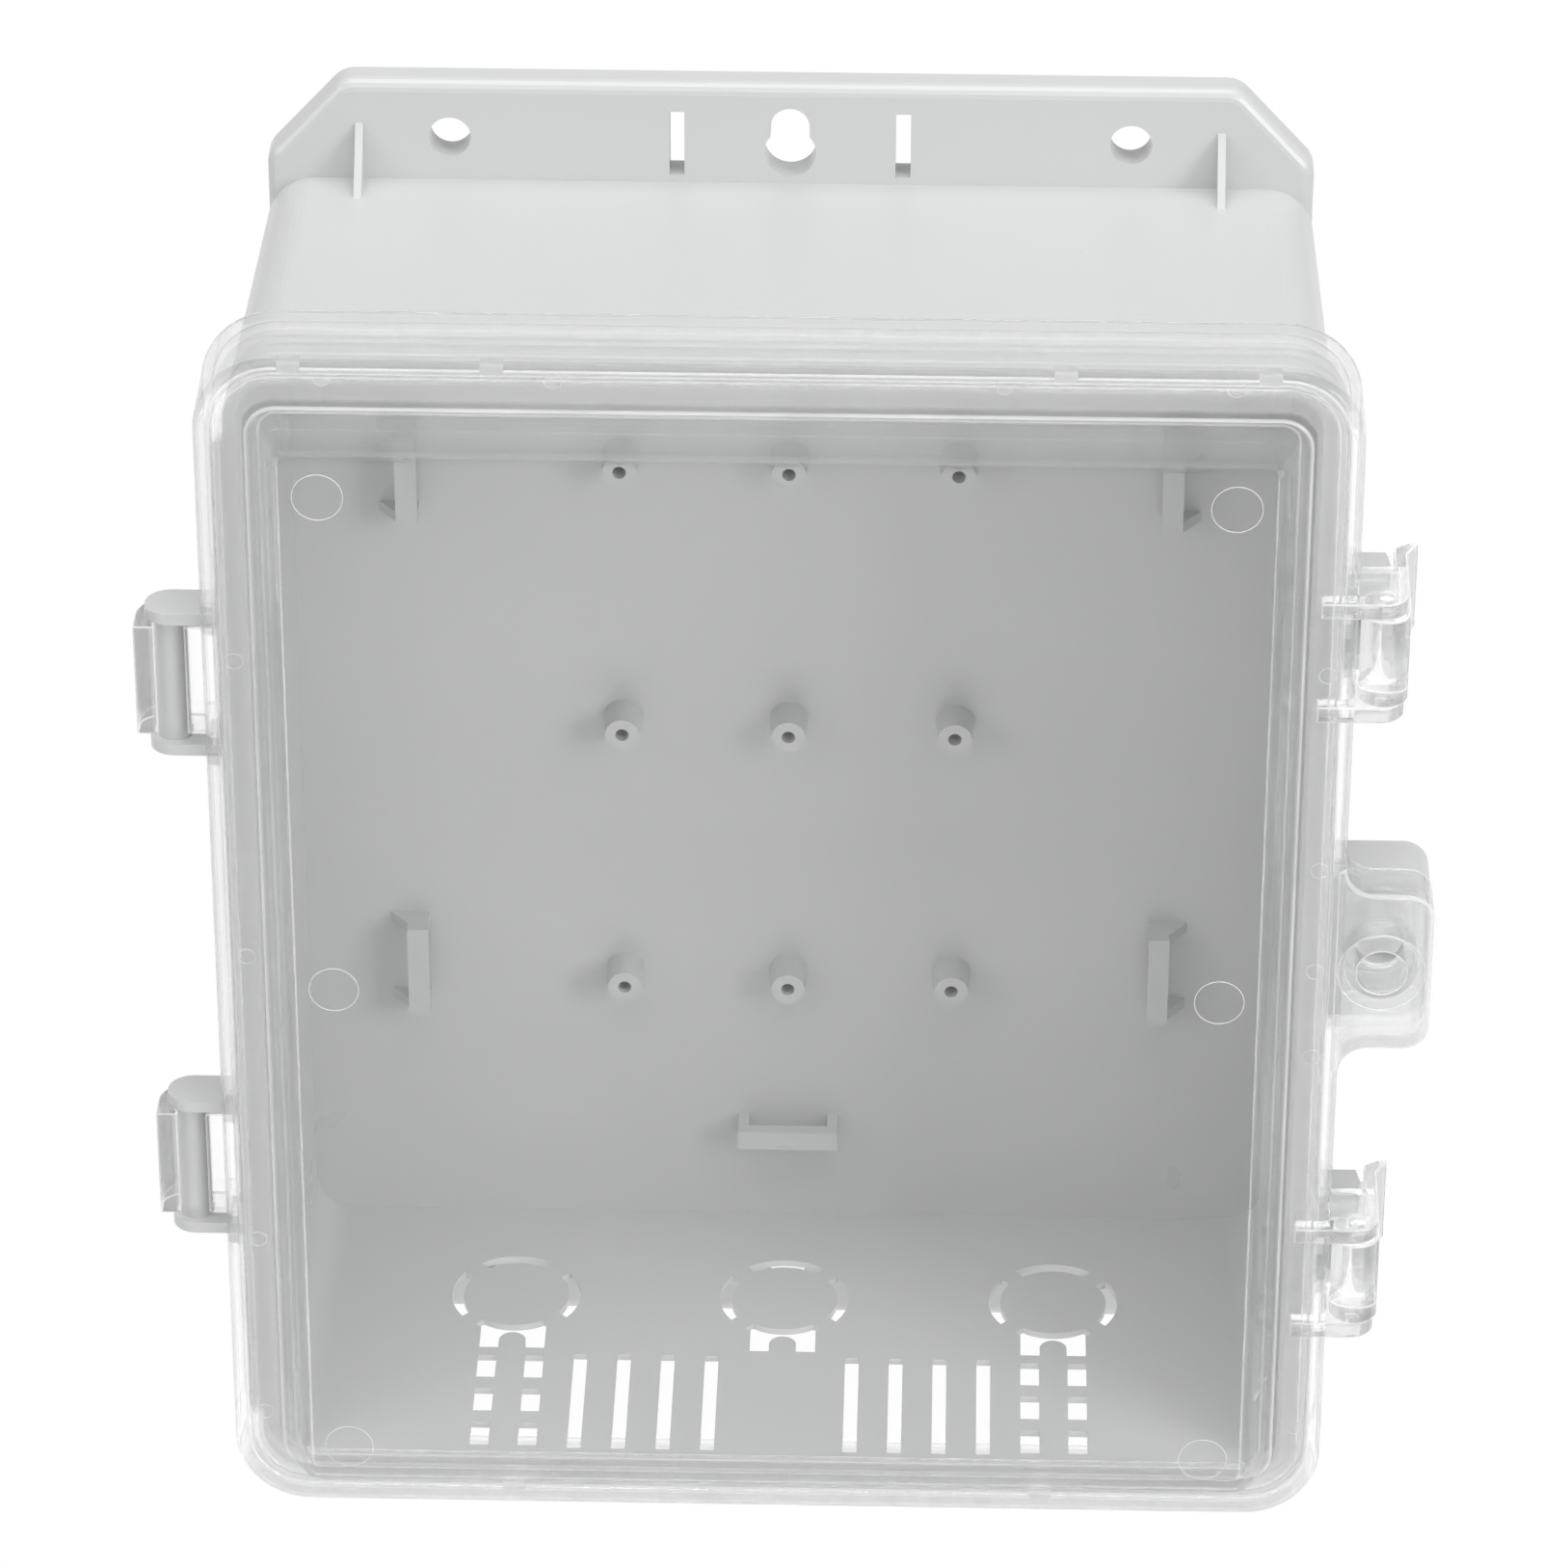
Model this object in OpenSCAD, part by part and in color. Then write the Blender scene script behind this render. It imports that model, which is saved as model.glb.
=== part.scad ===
// Wall-mounted hinged enclosure: opaque polycarbonate base, clear door on moulded hinges,
// two clear latch levers and a soft door gasket. Millimetres, +Z up.
// Origin: centre of the back face, on the wall. The door faces -Y, so depth is measured along -Y.

/* [Box] */
// Outer width of the box at the wall
box_width = 216; // [200:1:250]
// Outer height of the box at the wall
box_height = 261.6; // [250:0.2:320]
// Depth of the front edge of the box from the wall
box_depth = 95.7; // [90:0.1:130]
// Thickness of the box walls, the door and the latch levers
wall = 2.5; // [2.2:0.1:2.8]
// Draft of the box walls, in degrees
draft_angle = 1; // [0.6:0.02:1.2]
// Outer radius of the upright box corners
corner_radius = 10; // [9.5:0.5:11]

/* [Wall flanges] */
// Thickness of each flange
flange_thickness = 6.85; // [5:0.05:8]
// Height of each flange above or below the box
flange_reach = 22.2; // [21.6:0.2:28]
// Rounding of the front edge of a flange
flange_edge = 2.4; // [1:0.1:3]
// Diameter of the four mounting holes
mount_hole = 8.75; // [6:0.05:9.5]
// Distance between the mounting holes across the box
mount_spacing_x = 140.2; // [120:0.2:160]
// Distance of the mounting holes and keyholes from the box
mount_rise = 9.8; // [9:0.1:12]
// Diameter of the narrow end of each keyhole
keyhole_neck = 8; // [6:0.1:9]
// Diameter of the wide end of each keyhole
keyhole_head = 10.8; // [9:0.1:11]
// Distance between the two centres of a keyhole
keyhole_travel = 6; // [5:0.1:7]
// Distance of each strap slot from the middle
strap_slot_x = 23.3; // [18:0.1:30]
// Width of a strap slot
strap_slot_width = 3.1; // [2.5:0.1:5]
// Length of a strap slot
strap_slot_length = 14.4; // [10:0.1:15]
// Distance of the strap slots from the box
strap_slot_rise = 8.9; // [8.7:0.1:12]
// Distance of each gusset from the middle
gusset_x = 88.7; // [80:0.1:92]
// Thickness of a gusset
gusset_thickness = 1.6; // [1.2:0.1:3]
// Height of a gusset above or below the box
gusset_height = 12.8; // [8:0.1:14]
// Distance of the front end of a gusset from the wall
gusset_depth = 16.6; // [12:0.1:24]

/* [Knockouts and vents] */
// Distance between knockout centres
knockout_pitch = 59.2; // [56:0.1:64]
// Depth of the knockout centres from the wall
knockout_depth = 35.4; // [34:0.1:38]
// Outer diameter of a knockout groove
knockout_ring = 28.5; // [26:0.1:29]
// Diameter of the disc inside a knockout groove
knockout_disc = 23.3; // [20:0.1:24]
// Width of the webs that hold a knockout disc
knockout_web = 4.2; // [2:0.1:5]
// Depth of the front end of the vent slots
vent_front = 91.3; // [90:0.1:93]
// Length of a vent slot
vent_length = 34; // [20:0.5:36]
// Width of a vent slot
vent_width = 3; // [2:0.1:4]
// Distance between neighbouring vent slots
vent_pitch = 9.55; // [8:0.05:10]
// Distance of the first vent slot from the middle
vent_first_x = 15.3; // [12:0.1:16]
// Width of a cell in a lattice vent
cell_width = 4.1; // [3:0.1:4.5]
// Length of a cell in a lattice vent
cell_length = 8; // [6:0.1:8.5]
// Distance between cell rows
cell_pitch = 12.2; // [10:0.1:12.2]
// Thickness of the bottom wall around the knockouts and vents
vent_web = 1.5; // [1.2:0.1:2.2]

/* [Inside features] */
// Distance between standoffs across the box
standoff_pitch_x = 35.8; // [30:0.1:40]
// Distance between standoffs up the box
standoff_pitch_z = 64.2; // [60:0.1:90]
// Height of a standoff above the back panel
standoff_height = 7.7; // [5:0.1:10]
// Diameter of a standoff at its tip
standoff_tip = 7.3; // [6:0.1:9]
// Diameter of a standoff at its foot
standoff_foot = 8.4; // [7:0.1:10]
// Diameter of the pilot hole in a standoff
pilot_hole = 2.9; // [2.5:0.1:3.5]
// Distance of the side tie brackets from the middle
side_bracket_x = 81; // [76:0.1:90]
// Distance of the middle of a side tie bracket from mid height
side_bracket_z = 61.2; // [50:0.1:80]
// Length of a tie bracket
bracket_length = 22; // [18:0.5:26]
// Width of the bar of a tie bracket
bracket_width = 4.5; // [3:0.1:6]
// Distance of the bottom tie bracket above the lower side of the box
bottom_bracket_rise = 26.6; // [22:0.1:36]

/* [Door] */
// How far the door reaches beyond the box at each side
door_side_reach = 7.5; // [7.5:0.1:9]
// How far the door reaches beyond the box at the top and bottom
door_end_reach = 6.8; // [6.8:0.1:9]
// Outer radius of the door corners
door_corner = 16; // [15:0.5:18]
// Rounding of the front edge of the door rim
door_edge = 2.2; // [1:0.1:2.4]
// How far the door skirt overlaps the box
skirt_overlap = 16.9; // [15:0.1:18]
// Space for the gasket between the box edge and the door rim
gasket_space = 3.3; // [3:0.1:4]
// Rise of the window panel above the rim
panel_rise = 12.1; // [6:0.1:14]
// Width of the flat rim from the door edge to the bevel
rim_width = 10.8; // [10.6:0.1:12]
// Sideways run of the bevel
bevel_run = 5; // [3:0.1:7]
// Corner radius of the raised window where it leaves the rim
window_corner = 6; // [4:0.5:8]
// Distance of the inner channel nubs from the middle
nub_inner_x = 56.3; // [40:0.1:70]
// Distance of the outer channel nubs from the middle
nub_outer_x = 96.3; // [80:0.1:97]

/* [Gasket] */
// Width of the gasket
gasket_width = 4.2; // [3.4:0.1:4.2]
// Distance of the outer side of the gasket from the door edge
gasket_inset = 5.3; // [5.3:0.1:5.4]
// Thickness of the channel rib outside the gasket
channel_rib = 1.5; // [1:0.1:1.5]

/* [Hinges] */
// Distance of the middle of each hinge from mid height
hinge_z = 58.6; // [50:0.1:90]
// Diameter of the hinge pin
hinge_pin = 7; // [5:0.1:7.4]
// Clearance between the pin and the hook, on the radius
hinge_clearance = 0.08; // [0.02:0.01:0.1]
// Outer radius of a door hook
hook_radius = 7.3; // [6.8:0.1:7.3]
// Length of a door hook
hook_length = 24.9; // [18:0.1:27]
// Space between the two ears of a hinge
ear_space = 27.9; // [27.6:0.1:30]
// Radius of the rounded end of an ear
ear_radius = 5.2; // [4.6:0.1:5.4]

/* [Latches] */
// Distance of each latch from mid height
latch_z = 74.8; // [60:0.1:90]
// Width of a latch lever
lever_width = 19.6; // [19:0.1:24]
// Radius of the lever knuckle
knuckle_radius = 5; // [4.6:0.1:5]
// Thickness of the door arms beside a lever
arm_thickness = 3.5; // [3:0.1:5]
// Diameter of the lever trunnions
trunnion = 3.2; // [2.6:0.1:4]
// Length of a lever from its pivot to its nose
lever_reach = 25; // [25:0.1:26]
// Width of the nose that hooks behind the catch
nose_width = 13.6; // [10:0.1:15]

/* [Padlock tabs] */
// How far the padlock tab reaches beyond the door skirt
tab_reach = 18.2; // [16:0.1:20]
// Height of the padlock tab
tab_height = 36.8; // [32:0.1:44]
// Radius of the tab corners
tab_corner = 5.5; // [4:0.1:7]
// Radius of the fillets between the tab and the door
tab_fillet = 6; // [4:0.1:7]
// Diameter of the padlock hole
padlock_hole = 10.5; // [8:0.1:11]
// Distance of the padlock hole from the door skirt
padlock_x = 7.9; // [7.6:0.1:8.4]

/* [Hidden] */
$fn = 96;
gap = 0.3;
seat_gap = 0.1;
cut = 1;
far = 400;
root = 5;
slope = tan(draft_angle);
half_w = box_width / 2;
half_h = box_height / 2;
front_half_w = half_w + box_depth * slope;
front_half_h = half_h + box_depth * slope;
door_half_w = half_w + door_side_reach;
door_half_h = half_h + door_end_reach;
corner_x = door_half_w - door_corner;
corner_z = door_half_h - door_corner;
skirt_back = box_depth - skirt_overlap;
rim_back = box_depth + gasket_space;
rim_front = rim_back + wall;
panel_front = rim_front + panel_rise;
panel_back = panel_front - wall;
ledge_back = skirt_back + 5.2;
ledge_thickness = 3;
ledge_radius = door_corner - wall - 0.5;
ledge_right = corner_x + ledge_radius;
bevel_w = door_half_w - rim_width;
bevel_h = door_half_h - rim_width + 0.7;
panel_w = bevel_w - bevel_run;
panel_h = bevel_h - bevel_run + 0.7;
panel_corner = window_corner - 3;
mark_line = 0.25;
pin_offset = 7.3;
pin_x = -(door_half_w + pin_offset);
pin_depth = skirt_back + 8;
skirt_sweep = norm([pin_offset + wall, pin_depth - skirt_back]);
ledge_left = pin_x + skirt_sweep + 0.35;
ear_thickness = 2.5;
hook_reach = 5.5;
hook_mouth = 5.9;
lip_depth = pin_depth + 3.8;
pivot_x = door_half_w + knuckle_radius + 0.4;
pivot_depth = rim_front - 1.2;
lever_outer = pivot_x + knuckle_radius;
lever_inner = lever_outer - wall;
nose_front = pivot_depth - lever_reach;
nose_back = nose_front - 3;
nose_x = pivot_x - 0.1;
lever_half = lever_width / 2;
arm_inner = lever_half + gap;
arm_outer = arm_inner + arm_thickness;
trunnion_clearance = 0.05;
catch_half = lever_half - 0.6;
catch_rib = 3.5;
catch_back = nose_front + gap;
catch_front = skirt_back + 12.2;
notch_front = catch_front + 1;
tab_x = door_half_w + tab_reach;
tab_half = tab_height / 2;
tab_wall = 1.8;
base_tab_front = skirt_back + 10.5;
base_tab_wall = 3;
padlock_centre = door_half_w + padlock_x;
padlock_boss = padlock_hole + 4.7;
padlock_ring = padlock_hole + 7.4;
mount_z = half_h + mount_rise;
keyhole_z = half_h + mount_rise;
channel_depth = 2.5;
bottom_bracket_z = half_h - bottom_bracket_rise;
vent_back = knockout_depth - knockout_ring / 2 - 2;
vent_ceiling = wall - half_h - vent_web;
pocket_front = vent_front + 2;
vent_reach = knockout_pitch + knockout_ring / 2 + 2;
rib_outer = door_corner - gasket_inset + 0.2 + channel_rib;
base_colour = [0.84, 0.85, 0.85];
clear_colour = [0.9, 0.94, 0.95, 0.35];
seal_colour = [0.86, 0.86, 0.84];

// ---- helpers ----

// Turns a plan drawn in x and z so that it extrudes forward from the wall.
module forward(depth = 0)
    translate([0, -depth, 0]) rotate([90, 0, 0]) children();

// Extrudes a plan drawn in x and depth upward from a height.
module upward(low, high)
    translate([0, 0, low]) mirror([0, 1, 0]) linear_extrude(height = high - low) children();

// Repeats a part above and below mid height as a mirror image.
module above_and_below() {
    children();
    mirror([0, 0, 1]) children();
}

// Repeats a part at both sides of the middle as a mirror image.
module both_sides() {
    children();
    mirror([1, 0, 0]) children();
}

// Rectangle with round corners, by half sizes.
module rounded_plan(half_x, half_z, radius) {
    square([2 * (half_x - radius), 2 * half_z], center = true);
    square([2 * half_x, 2 * (half_z - radius)], center = true);
    for (sx = [-1, 1], sz = [-1, 1])
        translate([sx * (half_x - radius), sz * (half_z - radius)]) circle(r = radius);
}

// Four thin posts that span a drafted box between two depths.
module drafted_block(half_x, half_z, radius, low, high)
    hull()
        for (level = [low, high], sx = [-1, 1], sz = [-1, 1])
            translate([
                sx * (half_x + level * slope - radius),
                sz * (half_z + level * slope - radius),
                level
            ]) cylinder(r = radius, h = 0.001, center = true, $fn = 60);

// Everything inside the outer surface of the box.
module box_solid(grow = 0)
    forward() intersection() {
        drafted_block(half_w + grow, half_h + grow, corner_radius + grow, -0.5, box_depth + 0.5);
        translate([-far / 2, -far / 2, 0]) cube([far, far, box_depth]);
    }

// The space between the box walls, carried on through the back panel.
module box_space()
    forward() drafted_block(
        half_w - wall, half_h - wall, corner_radius - wall, -cut, box_depth + cut);

// Drip ledge around the box, inside the door skirt and clear of its swing at the hinges.
module drip_ledge()
    forward(ledge_back) linear_extrude(height = ledge_thickness)
        translate([(ledge_right + ledge_left) / 2, 0])
            rounded_plan((ledge_right - ledge_left) / 2, corner_z + ledge_radius, ledge_radius);

// Box walls with the drip ledge, without the back panel.
module wall_ring()
    difference() {
        union() {
            box_solid();
            drip_ledge();
        }
        box_space();
        translate([-far / 2, -wall, -far / 2]) cube([far, far, far]);
    }

// Wedge that takes the upper wall out of the ring, mitred at the corners.
module upper_wedge()
    forward(-cut) linear_extrude(height = far)
        polygon([[-far, far + half_h - half_w], [0, half_h - half_w], [far, far + half_h - half_w]]);

// Wedge that takes the right wall out of the ring, mitred at the corners.
module right_wedge()
    forward(-cut) linear_extrude(height = far)
        polygon([
            [0, half_w - half_h], [far, half_w - half_h - far],
            [far, far + half_h - half_w], [0, half_h - half_w]
        ]);

// Quarter-round sweep of a profile drawn in outward distance and depth.
module swept_frame() {
    for (sx = [-1, 1])
        rotate([0, 0, sx > 0 ? 0 : 180]) translate([corner_x, 0, 0]) rotate([90, 0, 0])
            linear_extrude(height = 2 * corner_z, center = true) children();
    for (sz = [-1, 1])
        rotate([0, 0, sz > 0 ? 90 : 270]) translate([corner_z, 0, 0]) rotate([90, 0, 0])
            linear_extrude(height = 2 * corner_x, center = true) children();
    translate([corner_x, corner_z, 0]) rotate_extrude(angle = 90) children();
    translate([-corner_x, corner_z, 0]) rotate([0, 0, 90]) rotate_extrude(angle = 90) children();
    translate([-corner_x, -corner_z, 0]) rotate([0, 0, 180]) rotate_extrude(angle = 90) children();
    translate([corner_x, -corner_z, 0]) rotate([0, 0, 270]) rotate_extrude(angle = 90) children();
}

// ---- base moulding ----

module back_panel()
    color(base_colour) intersection() {
        box_solid();
        translate([-far / 2, -wall, -far / 2]) cube([far, wall, far]);
    }

module top_wall()
    color(base_colour) intersection() {
        wall_ring();
        upper_wedge();
    }

module left_wall()
    color(base_colour) intersection() {
        wall_ring();
        mirror([1, 0, 0]) right_wedge();
    }

module right_wall()
    color(base_colour) intersection() {
        wall_ring();
        right_wedge();
    }

// Broken ring with four webs on the diagonals, drawn in x and depth.
module knockout_plan()
    difference() {
        circle(d = knockout_ring);
        circle(d = knockout_disc);
        for (turn = [45, 135])
            rotate([0, 0, turn]) square([knockout_ring + cut, knockout_web], center = true);
    }

// Pair of cells beside the rounded tongue in front of a knockout.
module tongue_cells()
    difference() {
        translate([-7.15, 0]) square([14.3, knockout_ring / 2 + 5.6]);
        circle(d = knockout_ring - 1);
        translate([0, knockout_ring / 2 + 2.95]) circle(r = 2.95);
        translate([-2.95, knockout_ring / 2 + 2.95]) square([5.9, 10]);
    }

// Lattice of two columns and three rows of cells.
module cell_lattice()
    for (side = [-1, 1], row = [0, 1, 2])
        translate([
            side * (3.1 + cell_width / 2) - cell_width / 2,
            vent_front - 0.7 - cell_length - row * cell_pitch
        ]) square([cell_width, cell_length]);

// All openings in the bottom wall, drawn in x and depth.
module bottom_openings() {
    for (place = [-1, 0, 1])
        translate([place * knockout_pitch, knockout_depth]) {
            knockout_plan();
            tongue_cells();
        }
    for (place = [-1, 1])
        translate([place * knockout_pitch, 0]) cell_lattice();
    for (side = [-1, 1], slot = [0 : 3])
        translate([side * (vent_first_x + slot * vent_pitch) - vent_width / 2, vent_front - vent_length])
            square([vent_width, vent_length]);
}

module bottom_wall()
    color(base_colour) difference() {
        intersection() {
            wall_ring();
            mirror([0, 0, 1]) upper_wedge();
        }
        upward(-half_h - 10, -half_h + 10) bottom_openings();
        vent_pocket();
    }

// Pocket under the bottom wall that thins it evenly around the knockouts and vents.
module vent_pocket()
    translate([vent_reach, 0, 0]) rotate([0, -90, 0])
        linear_extrude(height = 2 * vent_reach) polygon([
            [-half_h - 10, -vent_back],
            [vent_ceiling - slope * vent_back, -vent_back],
            [vent_ceiling - slope * pocket_front, -pocket_front],
            [-half_h - 10, -pocket_front]
        ]);

// Flange outline with chamfered, rounded corners, pulled in by an inset.
module flange_outline(inset) {
    for (sx = [-1, 1]) {
        translate([sx * (half_w - 18.5), half_h + flange_reach - 6]) circle(r = 6 - inset, $fn = 48);
        translate([sx * (half_w - 6), half_h + 2.5]) circle(r = 6 - inset, $fn = 48);
        translate([sx * (half_w - 6), half_h - 12]) circle(r = 6 - inset, $fn = 48);
    }
}

module keyhole()
    translate([0, keyhole_z, -cut]) {
        translate([0, keyhole_travel / 2 + 0.3, 0])
            cylinder(d = keyhole_neck, h = flange_thickness + 2 * cut);
        translate([0, -keyhole_travel / 2 + 0.3, 0])
            cylinder(d = keyhole_head, h = flange_thickness + 2 * cut);
        translate([-keyhole_neck / 2, -keyhole_travel / 2 + 0.3, 0])
            cube([keyhole_neck, keyhole_travel, flange_thickness + 2 * cut]);
    }

module upper_flange()
    difference() {
        forward() difference() {
            hull() {
                linear_extrude(height = flange_thickness - flange_edge) flange_outline(0);
                linear_extrude(height = flange_thickness - 0.62 * flange_edge)
                    flange_outline(0.08 * flange_edge);
                linear_extrude(height = flange_thickness - 0.29 * flange_edge)
                    flange_outline(0.29 * flange_edge);
                linear_extrude(height = flange_thickness - 0.08 * flange_edge)
                    flange_outline(0.62 * flange_edge);
                linear_extrude(height = flange_thickness) flange_outline(flange_edge);
            }
            for (sx = [-1, 1]) {
                translate([sx * mount_spacing_x / 2, mount_z, -cut])
                    cylinder(d = mount_hole, h = flange_thickness + 2 * cut);
                translate([
                    sx * strap_slot_x - strap_slot_width / 2, half_h + strap_slot_rise - strap_slot_length / 2, -cut
                ]) cube([strap_slot_width, strap_slot_length, flange_thickness + 2 * cut]);
            }
            keyhole();
        }
        box_solid();
    }

module top_flange() color(base_colour) upper_flange();

module bottom_flange() color(base_colour) mirror([0, 0, 1]) upper_flange();

// Pair of thin ribs between a flange and the box.
module gusset_pair()
    difference() {
        both_sides()
            translate([gusset_x + gusset_thickness / 2, 0, 0]) rotate([0, -90, 0])
                linear_extrude(height = gusset_thickness) polygon([
                    [half_h - 1, -flange_thickness],
                    [half_h + gusset_height, -flange_thickness],
                    [half_h + slope * gusset_depth, -gusset_depth],
                    [half_h - 1, -gusset_depth]
                ]);
        box_solid();
    }

module top_gussets() color(base_colour) gusset_pair();

module bottom_gussets() color(base_colour) mirror([0, 0, 1]) gusset_pair();

module standoffs()
    color(base_colour) forward(wall)
        for (column = [-1, 0, 1], row = [-1, 0, 1])
            translate([column * standoff_pitch_x, row * standoff_pitch_z, 0]) difference() {
                cylinder(d1 = standoff_foot, d2 = standoff_tip, h = standoff_height);
                translate([0, 0, 1]) cylinder(d = pilot_hole, h = standoff_height);
            }

// Bridge for a cable tie: a bar along z on two legs that spread outward.
module side_bracket()
    forward(wall) difference() {
        translate([0, bracket_length / 2, 0]) rotate([90, 0, 0])
            linear_extrude(height = bracket_length) polygon([
                [-bracket_width / 2, 0],
                [bracket_width / 2 + 4, 0],
                [bracket_width / 2, standoff_height - 2.6],
                [bracket_width / 2, standoff_height],
                [-bracket_width / 2, standoff_height]
            ]);
        translate([-20, -bracket_length / 2 + 2.3, -cut])
            cube([40, bracket_length - 4.6, standoff_height - 2.6 + cut]);
    }

module side_tie_brackets()
    color(base_colour) both_sides() above_and_below()
        translate([side_bracket_x, 0, side_bracket_z]) side_bracket();

module bottom_tie_bracket()
    color(base_colour) translate([0, 0, -bottom_bracket_z]) forward(wall) difference() {
        translate([-bracket_length / 2, -bracket_width / 2, 0])
            cube([bracket_length, bracket_width, standoff_height]);
        translate([-bracket_length / 2 + 2.3, -bracket_width, -cut])
            cube([bracket_length - 4.6, 2 * bracket_width, standoff_height - 3 + cut]);
    }

// One hinge ear, drawn in x and depth.
module ear_plan() {
    translate([pin_x, pin_depth]) circle(r = ear_radius);
    translate([pin_x, pin_depth - ear_radius]) square([30, 2 * ear_radius]);
}

module hinge_ears(centre)
    color(base_colour) difference() {
        for (side = [-1, 1]) {
            middle = centre + side * (ear_space + ear_thickness) / 2;
            upward(middle - ear_thickness / 2, middle + ear_thickness / 2) ear_plan();
        }
        box_solid();
        drip_ledge();
    }

module upper_hinge_ears() hinge_ears(hinge_z);

module lower_hinge_ears() hinge_ears(-hinge_z);

module hinge_pin_at(centre)
    color(base_colour) translate([pin_x, -pin_depth, centre])
        cylinder(d = hinge_pin, h = ear_space, center = true);

module upper_hinge_pin() hinge_pin_at(hinge_z);

module lower_hinge_pin() hinge_pin_at(-hinge_z);

// Latch catch rib, drawn in x and depth.
module catch_plan()
    polygon([
        [half_w - root, catch_back],
        [pivot_x + 0.9, catch_back],
        [pivot_x + 1.7, catch_back + 4.4],
        [pivot_x, catch_front],
        [half_w - root, catch_front]
    ]);

module latch_catch(centre)
    color(base_colour) difference() {
        union() {
            upward(centre + catch_half - catch_rib, centre + catch_half) catch_plan();
            upward(centre - catch_half, centre - catch_half + catch_rib) catch_plan();
            upward(centre - catch_half + cut, centre + catch_half - cut) polygon([
                [pivot_x - 2, catch_back],
                [pivot_x + 0.9, catch_back],
                [pivot_x + 1.7, catch_back + 4.4],
                [pivot_x - 2, catch_back + 4.4]
            ]);
        }
        box_solid();
        drip_ledge();
    }

module upper_catch() latch_catch(latch_z);

module lower_catch() latch_catch(-latch_z);

// Padlock tab outline in x and z, from the box side to a reach.
module tab_plan(start, reach, half, radius) {
    translate([start, -half]) square([reach - radius - start, 2 * half]);
    translate([start, radius - half]) square([reach - start, 2 * (half - radius)]);
    for (sz = [-1, 1])
        translate([reach - radius, sz * (half - radius)]) circle(r = radius);
}

module base_padlock_tab()
    color(base_colour) difference() {
        forward(skirt_back) difference() {
            linear_extrude(height = base_tab_front - skirt_back)
                tab_plan(half_w - root, tab_x - gap, tab_half - 0.4, tab_corner);
            difference() {
                translate([0, 0, -cut])
                    linear_extrude(height = base_tab_front - skirt_back - base_tab_wall + cut)
                        tab_plan(half_w - root - cut, tab_x - gap - 2, tab_half - 2.4, tab_corner - 2);
                cylinder_at_padlock(padlock_boss, 0, base_tab_front - skirt_back);
            }
            cylinder_at_padlock(padlock_hole, -cut, base_tab_front - skirt_back + cut);
        }
        box_solid();
        drip_ledge();
    }

module cylinder_at_padlock(diameter, low, high)
    translate([padlock_centre, 0, low]) cylinder(d = diameter, h = high - low);

// ---- clear door ----

// Rim, skirt and channel rib, drawn in distance from the corner centre and depth.
module door_edge_profile()
    difference() {
        union() {
            translate([5, rim_back]) square([door_corner - 5, wall]);
            translate([door_corner - wall, skirt_back]) square([wall, rim_front - skirt_back]);
            translate([rib_outer - channel_rib, rim_back - channel_depth])
                square([channel_rib, channel_depth + cut]);
        }
        translate([door_corner - door_edge, rim_front - door_edge]) difference() {
            square(door_edge + cut);
            circle(r = door_edge);
        }
    }

// Solid window block with rounded corners: straight up to one depth, then tapered by the bevel.
module window_block(inset, panel_inset, start, low, high) {
    translate([0, 0, start]) linear_extrude(height = low - start)
        rounded_plan(bevel_w - inset, bevel_h - inset, window_corner - inset);
    hull() {
        translate([0, 0, low - cut / 2]) linear_extrude(height = cut / 2)
            rounded_plan(bevel_w - inset, bevel_h - inset, window_corner - inset);
        translate([0, 0, high - 0.01]) linear_extrude(height = 0.01)
            rounded_plan(panel_w - panel_inset, panel_h - panel_inset, panel_corner - panel_inset);
    }
}

// Hook around a hinge pin, drawn in x and depth.
module hook_plan()
    difference() {
        union() {
            translate([pin_x, pin_depth]) circle(r = hook_radius);
            translate([pin_x - hook_radius, pin_depth])
                square([hook_radius + pin_offset, hook_reach]);
            translate([pin_x, pin_depth - hook_radius]) square([pin_offset, hook_radius + cut]);
        }
        translate([pin_x, pin_depth]) circle(d = hinge_pin + 2 * hinge_clearance);
        translate([pin_x - hinge_pin / 2 - hinge_clearance, pin_depth])
            square([hinge_pin + 2 * hinge_clearance, lip_depth - pin_depth]);
        translate([pin_x - hook_mouth / 2, pin_depth]) square([hook_mouth, hook_reach + cut]);
        translate([pin_x - 10, pin_depth + hook_reach]) square([30, 10]);
    }

// Door arm beside a latch lever, drawn in x and depth.
module arm_plan() {
    translate([door_half_w - 7.8, rim_front - cut]) square([pivot_x + 4.35 - 5 - door_half_w + 7.8, 3.5 + cut]);
    translate([door_half_w - cut, rim_front - 12.5])
        square([pivot_x + 4.35 - door_half_w + cut, 11]);
    translate([door_half_w - cut, rim_front - 2])
        square([pivot_x - 0.65 - door_half_w + cut, 5.5]);
    translate([pivot_x - 0.65, rim_front - 1.5]) circle(r = 5);
}

// Cuts in the door skirt where the base features pass through it.
module skirt_cuts() {
    for (centre = [-hinge_z, hinge_z], side = [-1, 1]) {
        middle = centre + side * (ear_space + ear_thickness) / 2;
        upward(middle - ear_thickness / 2 - gap, middle + ear_thickness / 2 + gap)
            translate([-door_half_w - cut, skirt_back - cut])
                square([wall + 2 * cut, pin_depth + ear_radius + gap - skirt_back + cut]);
    }
    for (centre = [-latch_z, latch_z])
        upward(centre - lever_half - 2.7, centre + lever_half + 2.7)
            translate([door_half_w - wall - cut, skirt_back - cut])
                square([wall + 2 * cut, notch_front - skirt_back + cut]);
    upward(-tab_half - gap, tab_half + gap)
        translate([door_half_w - wall - cut, skirt_back - cut])
            square([wall + 2 * cut, base_tab_front + gap - skirt_back + cut]);
}

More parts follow.
